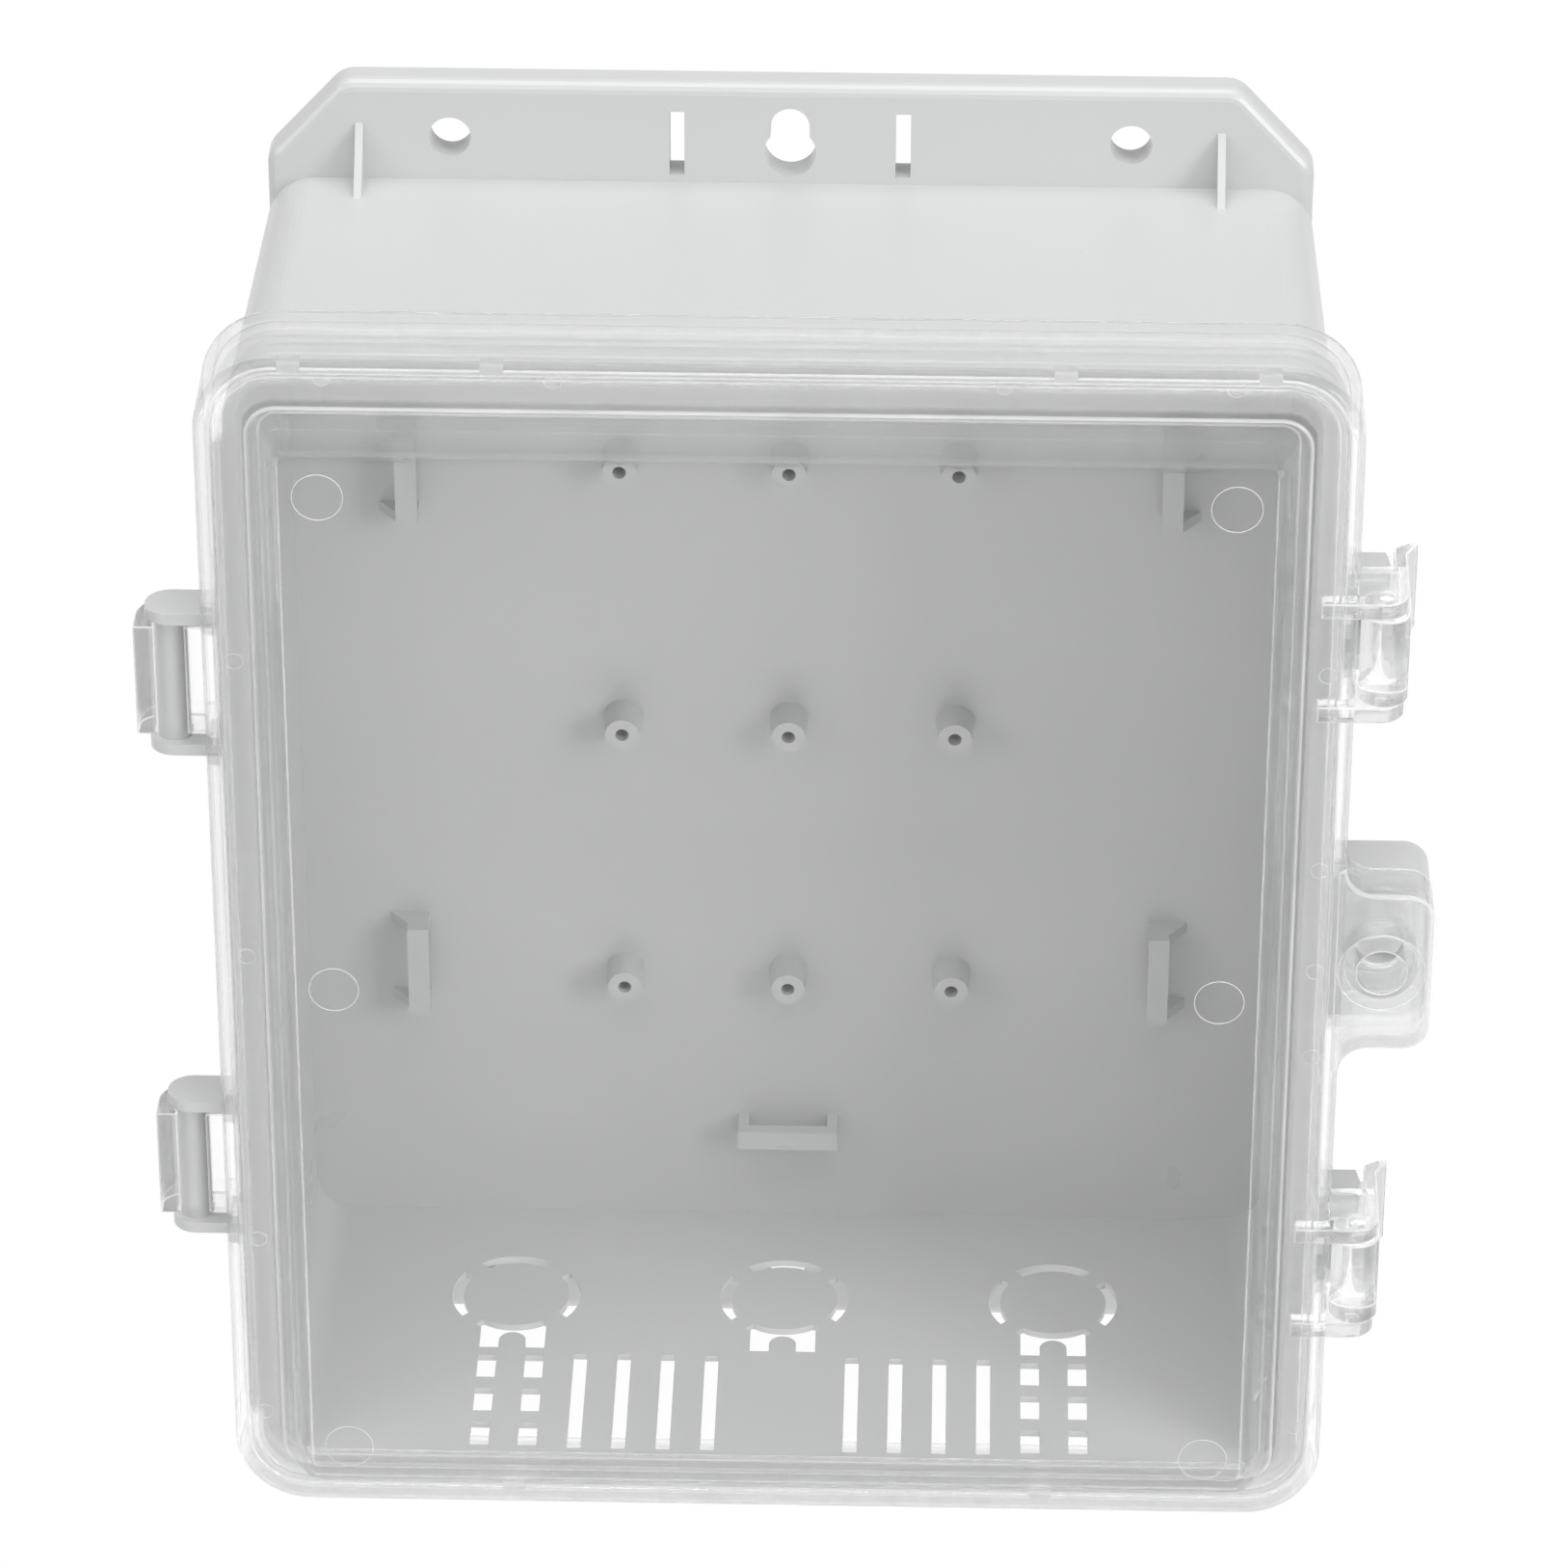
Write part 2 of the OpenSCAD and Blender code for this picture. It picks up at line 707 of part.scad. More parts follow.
// Fine ring that a mould pin leaves, cut from just behind one depth.
module ejector_ring(diameter, level)
    translate([0, 0, level - cut]) difference() {
        cylinder(d = diameter + mark_line, h = cut + mark_line);
        cylinder(d = diameter - mark_line, h = cut + mark_line);
    }

module ejector_marks() {
    for (sx = [-1, 1], sz = [-1, 0, 1])
        translate([sx * (panel_w - 9.7), sz * (panel_h - 9), 0])
            ejector_ring(10.1, panel_front - mark_line + cut);
    for (sx = [-1, 1], sz = [-1, 1]) {
        translate([sx * 89.3, sz * (door_half_h - 5.2), 0]) ejector_ring(3.6, rim_back);
        translate([sx * (door_half_w - 5.2), sz * 70, 0]) ejector_ring(3.6, rim_back);
    }
}

// Small blocks that join the channel rib to the skirt at the top and bottom.
module channel_nubs()
    for (place = [[nub_inner_x, 1], [nub_outer_x, 1], [nub_inner_x, -1]], sx = [-1, 1])
        translate([
            sx * place[0] - 2.3,
            place[1] > 0 ? corner_z + rib_outer - 0.5 : wall / 2 - door_half_h,
            rim_back - channel_depth
        ]) cube([4.6, door_half_h - wall / 2 - corner_z - rib_outer + 0.5, channel_depth + 0.5]);

// Padlock tab outline with concave fillets beside the door, pulled in by an inset.
module filleted_tab_plan(inset) {
    tab_plan(door_half_w - door_edge, tab_x - inset, tab_half - inset, tab_corner - inset);
    for (sz = [-1, 1])
        mirror([0, sz > 0 ? 0 : 1]) difference() {
            translate([door_half_w - door_edge, 0])
                square([door_edge + tab_fillet, tab_half + tab_fillet]);
            translate([door_half_w + tab_fillet, tab_half + tab_fillet])
                circle(r = tab_fillet + inset);
            translate([door_half_w + tab_fillet - 0.01, tab_half - inset]) square(2 * tab_fillet);
        }
}

// Door rim, bevel and skirt with their marks and cuts, around and under the window.
module door_shell()
    difference() {
        forward() {
            difference() {
                union() {
                    swept_frame() door_edge_profile();
                    channel_nubs();
                    window_block(0, 0, rim_back, rim_front, panel_front);
                }
                window_block(0.9 * wall, 0.6 * wall, rim_back - cut, rim_back, panel_back);
            }
        }
        skirt_cuts();
        forward() ejector_marks();
    }

// Upright block that holds the flat of the window.
module window_prism()
    forward(panel_back - cut) linear_extrude(height = wall + 2 * cut)
        rounded_plan(panel_w - 0.6 * wall, panel_h - 0.6 * wall, panel_corner - 0.6 * wall);

module door_window()
    color(clear_colour) intersection() {
        door_shell();
        window_prism();
    }

module door_rails()
    difference() {
        door_shell();
        window_prism();
    }

module door_top_rail()
    color(clear_colour) intersection() {
        door_rails();
        upper_wedge();
    }

module door_bottom_rail()
    color(clear_colour) intersection() {
        door_rails();
        mirror([0, 0, 1]) upper_wedge();
    }

module door_left_rail()
    color(clear_colour) intersection() {
        door_rails();
        mirror([1, 0, 0]) right_wedge();
    }

module door_right_rail()
    color(clear_colour) intersection() {
        door_rails();
        right_wedge();
    }

module door_hinge_hooks()
    color(clear_colour)
        for (centre = [-hinge_z, hinge_z])
            upward(
                centre + ear_space / 2 - gap - hook_length,
                centre + ear_space / 2 - gap) hook_plan();

module door_latch_arms()
    color(clear_colour) difference() {
        for (centre = [-latch_z, latch_z]) {
            upward(centre + arm_inner, centre + arm_outer) arm_plan();
            upward(centre - arm_outer, centre - arm_inner) arm_plan();
        }
        forward() swept_frame() door_edge_profile();
        for (centre = [-latch_z, latch_z])
            translate([pivot_x, -pivot_depth, centre])
                cylinder(
                    d = trunnion + 2 * trunnion_clearance,
                    h = 2 * arm_inner + 4, center = true);
    }

// Padlock tab of the door with its side wall.
module door_padlock_tab()
    color(clear_colour) difference() {
        forward() {
            translate([0, 0, base_tab_front + gap]) difference() {
                linear_extrude(height = rim_front - base_tab_front - gap) filleted_tab_plan(0);
                translate([0, 0, -cut])
                    linear_extrude(height = rim_front - base_tab_front - gap - wall + cut)
                        difference() {
                            filleted_tab_plan(tab_wall);
                            translate([door_half_w - 10, -far / 2]) square([10, far]);
                        }
            }
            cylinder_at_padlock(padlock_boss, base_tab_front + gap, rim_front);
        }
        forward() swept_frame() door_edge_profile();
        forward() {
            cylinder_at_padlock(padlock_hole, 0, far);
            cylinder_at_padlock(padlock_ring, rim_front - 0.4, far);
        }
    }

module door_gasket()
    color(seal_colour) forward() swept_frame()
        translate([door_corner - gasket_inset - gasket_width, box_depth + gap])
            square([gasket_width, gasket_space - gap - seat_gap]);

// ---- latch levers ----

// Nose of a lever that hooks behind the catch, drawn in x and depth.
module nose_plan()
    polygon([
        [lever_inner + 0.1, nose_front + 1.5],
        [lever_inner - 0.8, nose_front],
        [nose_x, nose_front],
        [nose_x, nose_front - 1.6],
        [nose_x + 1.4, nose_back],
        [lever_inner + 0.1, nose_back]
    ]);

// Lever section without its nose, drawn in x and depth.
module lever_plan() {
    translate([pivot_x, pivot_depth]) circle(r = knuckle_radius);
    polygon([
        [lever_inner, pivot_depth],
        [lever_inner, nose_back],
        [lever_outer - 0.4, nose_back],
        [lever_outer, nose_front + 4],
        [lever_outer, pivot_depth]
    ]);
    polygon([
        [lever_outer - 1.8, nose_front + 3],
        [lever_outer, nose_front + 4.5],
        [lever_outer + 2.7, nose_back + 0.3],
        [lever_outer + 0.5, nose_back - 0.7]
    ]);
    translate([lever_outer + 1.6, nose_back - 0.2]) circle(r = 1.2);
}

module latch_lever(centre)
    color(clear_colour) {
        difference() {
            union() {
                upward(centre - lever_half, centre + lever_half) lever_plan();
                upward(centre - nose_width / 2, centre + nose_width / 2) nose_plan();
            }
            upward(centre - lever_half + 1, centre - 1.5)
                translate([pivot_x - 0.5, pivot_depth - 6]) square([3, 12]);
        }
        for (side = [-1, 1])
            translate([pivot_x, -pivot_depth, centre + side * (lever_half + 1)])
                cylinder(d = trunnion, h = 2, center = true);
    }

module upper_latch_lever() latch_lever(latch_z);

module lower_latch_lever() latch_lever(-latch_z);

back_panel();
top_wall();
bottom_wall();
left_wall();
right_wall();
top_flange();
bottom_flange();
top_gussets();
bottom_gussets();
standoffs();
side_tie_brackets();
bottom_tie_bracket();
upper_hinge_ears();
lower_hinge_ears();
upper_hinge_pin();
lower_hinge_pin();
upper_catch();
lower_catch();
base_padlock_tab();
door_window();
door_top_rail();
door_bottom_rail();
door_left_rail();
door_right_rail();
door_hinge_hooks();
door_latch_arms();
door_padlock_tab();
door_gasket();
upper_latch_lever();
lower_latch_lever();
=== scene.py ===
import math

import bmesh
import bpy
from mathutils import Matrix, Vector


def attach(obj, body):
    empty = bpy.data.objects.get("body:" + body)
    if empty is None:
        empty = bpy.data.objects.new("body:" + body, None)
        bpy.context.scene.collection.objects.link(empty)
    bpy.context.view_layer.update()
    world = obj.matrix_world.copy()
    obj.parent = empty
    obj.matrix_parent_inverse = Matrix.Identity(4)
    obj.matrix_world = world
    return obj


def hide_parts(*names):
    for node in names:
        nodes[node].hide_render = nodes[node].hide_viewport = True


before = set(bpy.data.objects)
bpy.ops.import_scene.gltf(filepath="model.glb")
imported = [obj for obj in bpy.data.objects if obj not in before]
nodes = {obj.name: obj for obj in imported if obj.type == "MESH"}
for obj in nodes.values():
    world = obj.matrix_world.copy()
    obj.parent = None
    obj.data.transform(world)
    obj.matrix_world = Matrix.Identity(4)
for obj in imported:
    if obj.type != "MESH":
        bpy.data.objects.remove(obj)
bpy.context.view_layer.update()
scene = bpy.context.scene

# Lengths of the object are in millimetres, and MM turns them into metres where a mesh is made.
# A depth is the distance from the wall behind the box, so it runs along -Y. The studio and the
# camera are in metres.
MM = 0.001


# ---------------------------------------------------------------- materials

NOISE_LOW, NOISE_HIGH = 0.3, 0.7  # nearly all values of a noise lie between these
LAMP_SHARE = 0.95  # part of a lamp's light that one clear surface lets through
CLEAR_TINT = (0.99, 0.99198, 0.99099, 1)
PASSING_TINT = (0.985, 0.987, 0.986, 1)


def new_material(name):
    mat = bpy.data.materials.new(name)
    mat.use_nodes = True
    nt = mat.node_tree
    nt.nodes.clear()
    return mat, nt


def add(nt, kind, **props):
    node = nt.nodes.new(kind)
    for key, value in props.items():
        setattr(node, key, value)
    return node


def to_output(nt, shader):
    out = add(nt, "ShaderNodeOutputMaterial")
    nt.links.new(shader, out.inputs["Surface"])


def object_noise(nt, scale, detail):
    """Noise that stays with the piece when it moves."""
    coordinates = add(nt, "ShaderNodeTexCoord")
    noise = add(nt, "ShaderNodeTexNoise")
    noise.inputs["Scale"].default_value = scale
    noise.inputs["Detail"].default_value = detail
    noise.inputs["Roughness"].default_value = 0.55
    nt.links.new(coordinates.outputs["Object"], noise.inputs["Vector"])
    return noise


def ranged(nt, noise, low, high):
    """Spreads a noise between two values."""
    spread = add(nt, "ShaderNodeMapRange")
    spread.inputs["From Min"].default_value = NOISE_LOW
    spread.inputs["From Max"].default_value = NOISE_HIGH
    spread.inputs["To Min"].default_value = low
    spread.inputs["To Max"].default_value = high
    nt.links.new(noise.outputs["Fac"], spread.inputs["Value"])
    return spread.outputs["Result"]


def two_tones(nt, noise, tones, stops=(0.0, 1.0)):
    """Runs from one colour to another as a noise rises between two stops."""
    ramp = add(nt, "ShaderNodeValToRGB")
    for element, stop, tone in zip(ramp.color_ramp.elements, stops, tones):
        element.position = stop
        element.color = (*tone, 1)
    nt.links.new(noise.outputs["Fac"], ramp.inputs["Fac"])
    return ramp.outputs["Color"]


def bumps(nt, noise, strength, height):
    """Normals of a surface that a noise raises by up to a height in metres."""
    bump = add(nt, "ShaderNodeBump")
    bump.inputs["Strength"].default_value = strength
    bump.inputs["Distance"].default_value = height
    nt.links.new(noise.outputs["Fac"], bump.inputs["Height"])
    return bump.outputs["Normal"]


def see_through(nt, tint=(1, 1, 1, 1)):
    passing = add(nt, "ShaderNodeBsdfTransparent")
    passing.inputs["Color"].default_value = tint
    return passing.outputs["BSDF"]


def mixed(nt, share, first, second):
    """Mixes two shaders. The share of the second is a number or a socket."""
    mix = add(nt, "ShaderNodeMixShader")
    if isinstance(share, float):
        mix.inputs["Fac"].default_value = share
    else:
        nt.links.new(share, mix.inputs["Fac"])
    nt.links.new(first, mix.inputs[1])
    nt.links.new(second, mix.inputs[2])
    return mix.outputs["Shader"]


def lamps_pass(nt, shader):
    """Lets the light of lamps straight through, and links the result to the output."""
    path = add(nt, "ShaderNodeLightPath")
    lamp_way = see_through(nt, (LAMP_SHARE, LAMP_SHARE, LAMP_SHARE, 1))
    to_output(nt, mixed(nt, path.outputs["Is Shadow Ray"], shader, lamp_way))


def mirror_share(nt, facing):
    """Share of light that a clear surface mirrors: least seen face on, and more aslant."""
    weight = add(nt, "ShaderNodeLayerWeight")
    weight.inputs["Blend"].default_value = 0.5
    power = add(nt, "ShaderNodeMath", operation="POWER")
    power.inputs[1].default_value = 5.0
    nt.links.new(weight.outputs["Facing"], power.inputs[0])
    share = add(nt, "ShaderNodeMath", operation="MULTIPLY_ADD")
    nt.links.new(power.outputs[0], share.inputs[0])
    share.inputs[1].default_value = 1.0 - facing
    share.inputs[2].default_value = facing
    return share.outputs[0]


def moulded_grey():
    """Light grey polycarbonate with a fine grain."""
    mat, nt = new_material("base_polycarbonate")
    body = add(nt, "ShaderNodeBsdfPrincipled")
    body.inputs["IOR"].default_value = 1.58
    tones = ((0.640, 0.645, 0.645), (0.655, 0.660, 0.659))
    cloud = object_noise(nt, 9.0, 3.0)
    nt.links.new(two_tones(nt, cloud, tones, (0.35, 0.65)), body.inputs["Base Color"])
    patches = object_noise(nt, 22.0, 4.0)
    nt.links.new(ranged(nt, patches, 0.27, 0.36), body.inputs["Roughness"])
    grain = object_noise(nt, 900.0, 2.0)
    nt.links.new(bumps(nt, grain, 0.08, 0.0002), body.inputs["Normal"])
    to_output(nt, body.outputs["BSDF"])
    return mat


def clear_plastic(name, straight):
    """Thick clear polycarbonate: a share of the light goes straight on, and the rest bends."""
    mat, nt = new_material(name)
    bending = add(nt, "ShaderNodeBsdfPrincipled")
    bending.inputs["Base Color"].default_value = CLEAR_TINT
    bending.inputs["Transmission Weight"].default_value = 1.0
    bending.inputs["IOR"].default_value = 1.45
    haze = object_noise(nt, 30.0, 3.0)
    nt.links.new(ranged(nt, haze, 0.0, 0.02), bending.inputs["Roughness"])
    wave = object_noise(nt, 14.0, 1.0)
    nt.links.new(bumps(nt, wave, 0.008, 0.001), bending.inputs["Normal"])
    passing = see_through(nt, PASSING_TINT)
    lamps_pass(nt, mixed(nt, straight, bending.outputs["BSDF"], passing))
    return mat


def clear_pane():
    """Flat clear sheet: nothing bends, and both faces mirror a little."""
    mat, nt = new_material("window_polycarbonate")
    gloss = add(nt, "ShaderNodeBsdfGlossy")
    haze = object_noise(nt, 25.0, 3.0)
    nt.links.new(ranged(nt, haze, 0.02, 0.06), gloss.inputs["Roughness"])
    wave = object_noise(nt, 12.0, 1.0)
    nt.links.new(bumps(nt, wave, 0.01, 0.001), gloss.inputs["Normal"])
    passing = see_through(nt)
    lamps_pass(nt, mixed(nt, mirror_share(nt, 0.035), passing, gloss.outputs["BSDF"]))
    return mat


def soft_seal():
    """Clear silicone cord: mostly see-through, with a little matt body."""
    mat, nt = new_material("seal_silicone")
    body = add(nt, "ShaderNodeBsdfPrincipled")
    cloud = object_noise(nt, 60.0, 3.0)
    tones = ((0.60, 0.60, 0.60), (0.66, 0.66, 0.66))
    nt.links.new(two_tones(nt, cloud, tones), body.inputs["Base Color"])
    nt.links.new(ranged(nt, cloud, 0.2, 0.32), body.inputs["Roughness"])
    lamps_pass(nt, mixed(nt, 0.8, body.outputs["BSDF"], see_through(nt)))
    return mat


def painted_edge_highlight():
    """Painted highlight for the rounded rims of clear plastic, where light leaves it: a pale line.
    """
    mat, nt = new_material("edge_painted_highlight")
    body = add(nt, "ShaderNodeBsdfPrincipled")
    # pale colour painted on as the highlight that a rounded rim catches
    body.inputs["Base Color"].default_value = (0.9, 0.9, 0.9, 1)
    haze = object_noise(nt, 40.0, 3.0)
    nt.links.new(ranged(nt, haze, 0.12, 0.25), body.inputs["Roughness"])
    straight = ranged(nt, haze, 0.35, 0.6)
    lamps_pass(nt, mixed(nt, straight, body.outputs["BSDF"], see_through(nt)))
    return mat


def dress(obj, mat):
    obj.data.materials.clear()
    obj.data.materials.append(mat)


grey = moulded_grey()
seal = soft_seal()
for name, obj in nodes.items():
    if name == "door_gasket":
        dress(obj, seal)
    elif not (name.startswith("door_") or name.endswith("latch_lever")):
        dress(obj, grey)

# material slots of every mesh that is made below
# the edge slot is a painted highlight that stands in for light caught on rounded rims
CLEAR, PANE, EDGE_HIGHLIGHT, THICK = range(4)
SLOTS = (
    clear_plastic("door_polycarbonate", 0.5),
    clear_pane(),
    painted_edge_highlight(),
    clear_plastic("thick_polycarbonate", 0.2),
)


# ---------------------------------------------------------------- sizes of the clear pieces

# door: half width, half height, corner radius, and depths
DOOR_W, DOOR_H, DOOR_CORNER = 115.5, 137.6, 16.0
SKIRT_BACK, RIM_BACK, RIM_FRONT = 78.8, 99.0, 101.5
PANEL_BACK, PANEL_FRONT = 111.1, 113.6
SEAT_DEPTH = 2.5  # groove in the back of the rim for the gasket
# half width and half height: of the window's front, the foot of its bevel, and both inside
WINDOW_W, WINDOW_H = 99.7, 123.2
BEVEL_W, BEVEL_H = 104.7, 127.5
INNER_WINDOW_W, INNER_WINDOW_H = 98.2, 121.7
INNER_BEVEL_W, INNER_BEVEL_H = 102.45, 125.25
CORNER_STEPS = 14
BEND_STEPS = 4
# part of the window that takes the pane material: half width, half height, least depth
PANE_W, PANE_H, PANE_DEPTH = 99.0, 122.6, 110.5
MERGE = 0.6  # how far hooks and arms reach into the wall that carries them

# cuts in the skirt: the wall's x on the left and on the right, and their back end
LEFT_SKIRT, RIGHT_SKIRT, CUT_BACK = (-117, -112), (112, 117), 77

# hinges: height above and below the middle, pin, and hook around it
HINGE_Z, PIN_X, PIN_DEPTH = 58.6, -122.8, 86.8
EAR_Z, EAR_SLOT, EAR_FRONT = 15.2, 1.55, 92.3
EAR_GAP, HOOK_LENGTH, HOOK_PLAY = 27.9, 24.9, 0.3
HOOK_INNER, HOOK_OUTER, HOOK_MOUTH = 3.58, 7.3, 2.95
HOOK_LIP, HOOK_FRONT = PIN_DEPTH + 3.8, PIN_DEPTH + 5.5

# latches: height above and below the middle, pivot, arms and lever
LATCH_Z, PIVOT_X, PIVOT_DEPTH = 74.8, 120.9, 100.3
LATCH_NOTCH, LATCH_NOTCH_FRONT = 12.5, 92.0
KNUCKLE_R = 5
ARM_GAP, ARM_THICK, ARM_START, ARM_RISE, ARM_DROP = 10.1, 3.5, 7.8, 3.5, 12.5
ARM_SETBACK = 0.65  # from the pivot back to the middle of the arm's rounding
SOCKET_GAP, SOCKET_LENGTH, SOCKET_R = 9.5, 2.3, 1.65
LEVER_HALF, NOSE_HALF, PINS_HALF, PINS_R = 9.8, 6.8, 11.7, 1.6
PLATE_THICK, LEVER_END = 2.5, 72.3

# padlock tab: half height, reach, corner, fillets beside the door, back and wall
TAB_HALF, TAB_REACH, TAB_CORNER, TAB_FILLET = 18.4, 133.7, 5.5, 6.0
TAB_BACK, TAB_WALL, TAB_NOTCH = 89.6, 1.8, 18.7
LOCK_X, LOCK_R, BOSS_R = 123.4, 5.25, 7.6
RECESS_R, RECESS_DEPTH = 8.95, 0.4

# nubs on the rim behind the skirt: half width, depths, heights, and x and side of each pair
NUB_HALF, NUB_BACK, NUB_FRONT, NUB_LOW, NUB_HIGH = 2.3, 96.5, 99.4, 133.5, 135.6
NUB_PAIRS = ((56.3, 1), (96.3, 1), (56.3, -1))

# roundings of rims
ARM_RIM, TAB_RIM, LEVER_RIM, NOSE_RIM = 0.35, 0.7, 0.4, 0.3


# ---------------------------------------------------------------- outlines and meshes

# signs of x and z at each corner of a rectangle, and the angle where its arc starts
CORNERS = ((1, 1, 0), (-1, 1, 90), (-1, -1, 180), (1, -1, 270))


def arc(cx, cy, radius, start, end, steps):
    turns = [math.radians(start + (end - start) * i / steps) for i in range(steps + 1)]
    return [(cx + radius * math.cos(turn), cy + radius * math.sin(turn)) for turn in turns]


def circle(cx, cy, radius, steps):
    return arc(cx, cy, radius, 0, 360, steps)[:-1]


def rounded_rectangle(half_x, half_z, radius, steps):
    loop = []
    for sx, sz, start in CORNERS:
        cx, cz = sx * (half_x - radius), sz * (half_z - radius)
        loop += arc(cx, cz, radius, start, start + 90, steps)
    return loop


def mirrored(upper):
    """Closes an outline with its own mirror image below the middle."""
    return upper + [(x, -z) for x, z in reversed(upper)]


def mesh_object(name, verts, faces, kinds):
    """Closed mesh with its faces turned outward; kinds gives the material slot of each face."""
    mesh = bpy.data.meshes.new(name)
    mesh.from_pydata(verts, [], faces)
    mesh.validate()
    for mat in SLOTS:
        mesh.materials.append(mat)
    mesh.polygons.foreach_set("material_index", kinds)
    bm = bmesh.new()
    bm.from_mesh(mesh)
    bmesh.ops.recalc_face_normals(bm, faces=bm.faces)
    bm.to_mesh(mesh)
    bm.free()
    obj = bpy.data.objects.new(name, mesh)
    scene.collection.objects.link(obj)
    return obj


def bake_modifiers(obj):
    depsgraph = bpy.context.evaluated_depsgraph_get()
    mesh = bpy.data.meshes.new_from_object(obj.evaluated_get(depsgraph))
    obj.modifiers.clear()
    obj.data = mesh


def combine(target, tool, operation):
    mod = target.modifiers.new(operation.lower(), "BOOLEAN")
    mod.operation = operation
    mod.solver = "EXACT"
    mod.object = tool
    bake_modifiers(target)
    bpy.data.objects.remove(tool, do_unlink=True)


def block(name, x_span, depth_span, z_span):
    verts = [(x * MM, -w * MM, z * MM) for x in x_span for w in depth_span for z in z_span]
    faces = [(0, 1, 3, 2), (4, 6, 7, 5), (0, 4, 5, 1), (2, 3, 7, 6), (0, 2, 6, 4), (1, 5, 7, 3)]
    return mesh_object(name, verts, faces, [CLEAR] * len(faces))


def prism(name, outline, low, high, along="z", bevel=0.0, kind=CLEAR):
    """Extrudes an outline in x and depth along z, or in x and z along the depth.

    A bevel rounds its rims, which then take the painted highlight material and show as pale lines.
    """
    count = len(outline)
    verts = []
    for level in (low, high):
        for a, b in outline:
            depth, z = (b, level) if along == "z" else (level, b)
            verts.append((a * MM, -depth * MM, z * MM))
    faces = [tuple(range(count)), tuple(range(count, 2 * count))]
    faces += [(i, (i + 1) % count, count + (i + 1) % count, count + i) for i in range(count)]
    obj = mesh_object(name, verts, faces, [kind] * len(faces))
    if bevel:
        mod = obj.modifiers.new("rims", "BEVEL")
        mod.width = bevel * MM
        mod.segments = 3
        mod.material = EDGE_HIGHLIGHT
        mod.limit_method = "ANGLE"
        mod.angle_limit = math.radians(40)
        bake_modifiers(obj)
    return obj


def soften(obj):
    """Smooth shading across small angles, with flat areas kept flat."""
    mesh = obj.data
    mesh.polygons.foreach_set("use_smooth", [True] * len(mesh.polygons))
    mesh.set_sharp_from_angle(angle=math.radians(38))
    mod = obj.modifiers.new("weights", "WEIGHTED_NORMAL")
    mod.mode = "FACE_AREA"
    mod.weight = 90
    mod.keep_sharp = True


# ---------------------------------------------------------------- clear door as one moulding

def frame_corner(radius, depth):
    """Bend of the rim or skirt that follows the door's outline at a constant distance."""
    inset = DOOR_CORNER - radius
    return (DOOR_W - inset, DOOR_H - inset, radius, depth)


# half width, half height, corner radius and depth at each bend, the length of its rounding,
# and whether the rounding shows as a pale line of painted highlight: from the window's front
# over the rim and the skirt to the window's back
PROFILE = [
    ((WINDOW_W - 4.7, WINDOW_H - 4.7, 1.5, PANEL_FRONT), 0.0, False),
    ((WINDOW_W, WINDOW_H, 3.0, PANEL_FRONT), 1.8, False),
    ((BEVEL_W, BEVEL_H, 6.0, RIM_FRONT), 0.9, True),
    (frame_corner(16.0, RIM_FRONT), 2.4, False),
    (frame_corner(16.0, SKIRT_BACK), 0.7, True),
    (frame_corner(13.5, SKIRT_BACK), 0.7, False),
    (frame_corner(13.5, RIM_BACK), 0.5, True),
    (frame_corner(12.4, RIM_BACK), 0.3, False),
    (frame_corner(12.4, RIM_BACK - SEAT_DEPTH), 0.5, True),
    (frame_corner(10.9, RIM_BACK - SEAT_DEPTH), 0.5, True),
    (frame_corner(10.9, RIM_BACK), 0.3, False),
    ((INNER_BEVEL_W, INNER_BEVEL_H, 3.75, RIM_BACK), 0.7, True),
    ((INNER_WINDOW_W, INNER_WINDOW_H, 1.5, PANEL_BACK), 0.8, False),
    ((INNER_WINDOW_W - 4.2, INNER_WINDOW_H - 4.2, 0.9, PANEL_BACK), 0.0, False),
]


def rounded_profile():
    """Replaces each bend by a short curve; every point says if a pale line of painted highlight
    starts there.
    """
    points = []
    for i, (corner, length, line) in enumerate(PROFILE):
        if length == 0.0:
            points.append((corner, False))
            continue
        ends = []
        for other in (PROFILE[i - 1][0], PROFILE[i + 1][0]):
            away = math.dist((other[0], other[3]), (corner[0], corner[3]))
            share = min(length / away, 0.45)
            ends.append([c + (o - c) * share for c, o in zip(corner, other)])
        for step in range(BEND_STEPS + 1):
            t = step / BEND_STEPS
            spot = tuple(
                (1 - t) ** 2 * a + 2 * t * (1 - t) * c + t * t * b
                for a, c, b in zip(ends[0], corner, ends[1])
            )
            points.append((spot, line and step in (1, 2)))
    return points


def door_shell():
    """Window, rim and skirt: one loop per point of the profile, closed front and back."""
    points = rounded_profile()
    count = len(CORNERS) * (CORNER_STEPS + 1)
    verts = []
    for (half_x, half_z, radius, depth), line in points:
        loop = rounded_rectangle(half_x, half_z, radius, CORNER_STEPS)
        verts += [(x * MM, -depth * MM, z * MM) for x, z in loop]
    faces, kinds = [tuple(range(count))], [CLEAR]
    for i, (_, line) in enumerate(points[:-1]):
        for j in range(count):
            k = (j + 1) % count
            here, there = i * count, (i + 1) * count
            faces.append((here + j, here + k, there + k, there + j))
            # roundings flagged as lines take the painted highlight material
            kinds.append(EDGE_HIGHLIGHT if line else CLEAR)
    last = (len(points) - 1) * count
    faces.append(tuple(range(last, last + count)))
    kinds.append(CLEAR)
    return mesh_object("clear_door_moulding", verts, faces, kinds)


def centred(middle, half):
    return (middle - half, middle + half)


